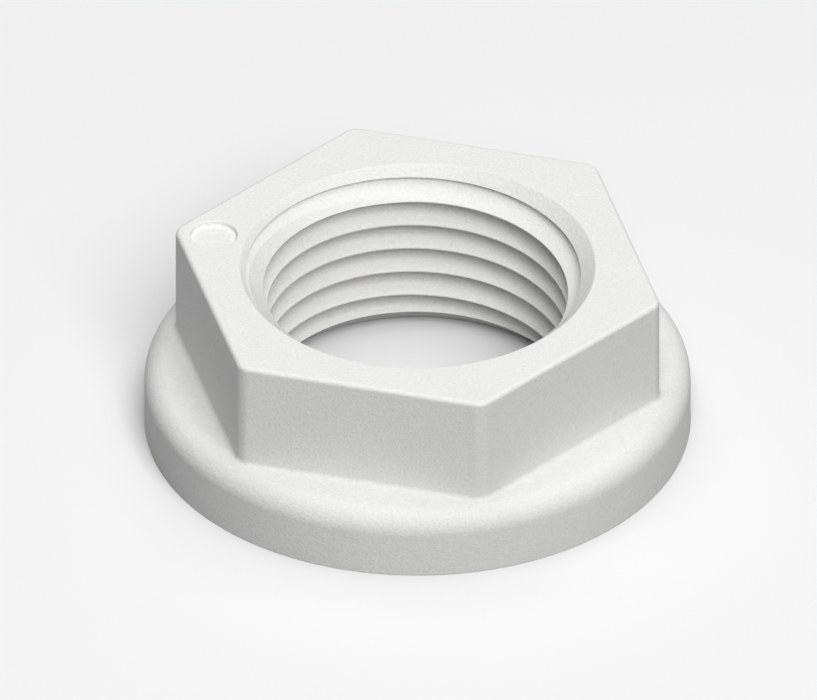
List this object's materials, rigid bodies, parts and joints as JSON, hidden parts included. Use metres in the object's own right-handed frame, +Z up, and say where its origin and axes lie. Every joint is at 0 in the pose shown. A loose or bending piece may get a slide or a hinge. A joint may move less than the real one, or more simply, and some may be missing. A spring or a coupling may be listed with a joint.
{
  "type": "thru-hull nut",
  "caption": "Flanged hexagon nut moulded in one piece, with a through thread, countersunk at both ends, that clamps a thru-hull fitting against the hull.",
  "frame": {"origin": "centre of the flat seat under the flange, on the axis of the thread", "axes": "+Z up the axis of the thread, from the seat to the top of the hexagon; +X to one corner of the hexagon, with the round pocket by the corner on -X"},
  "size_m": [0.035, 0.035, 0.012],
  "materials": {
    "nut_plastic": "plain white moulded plastic with a fine grain"
  },
  "bodies": {
    "root": {"nut": "nut_plastic"}
  },
  "joints": []
}
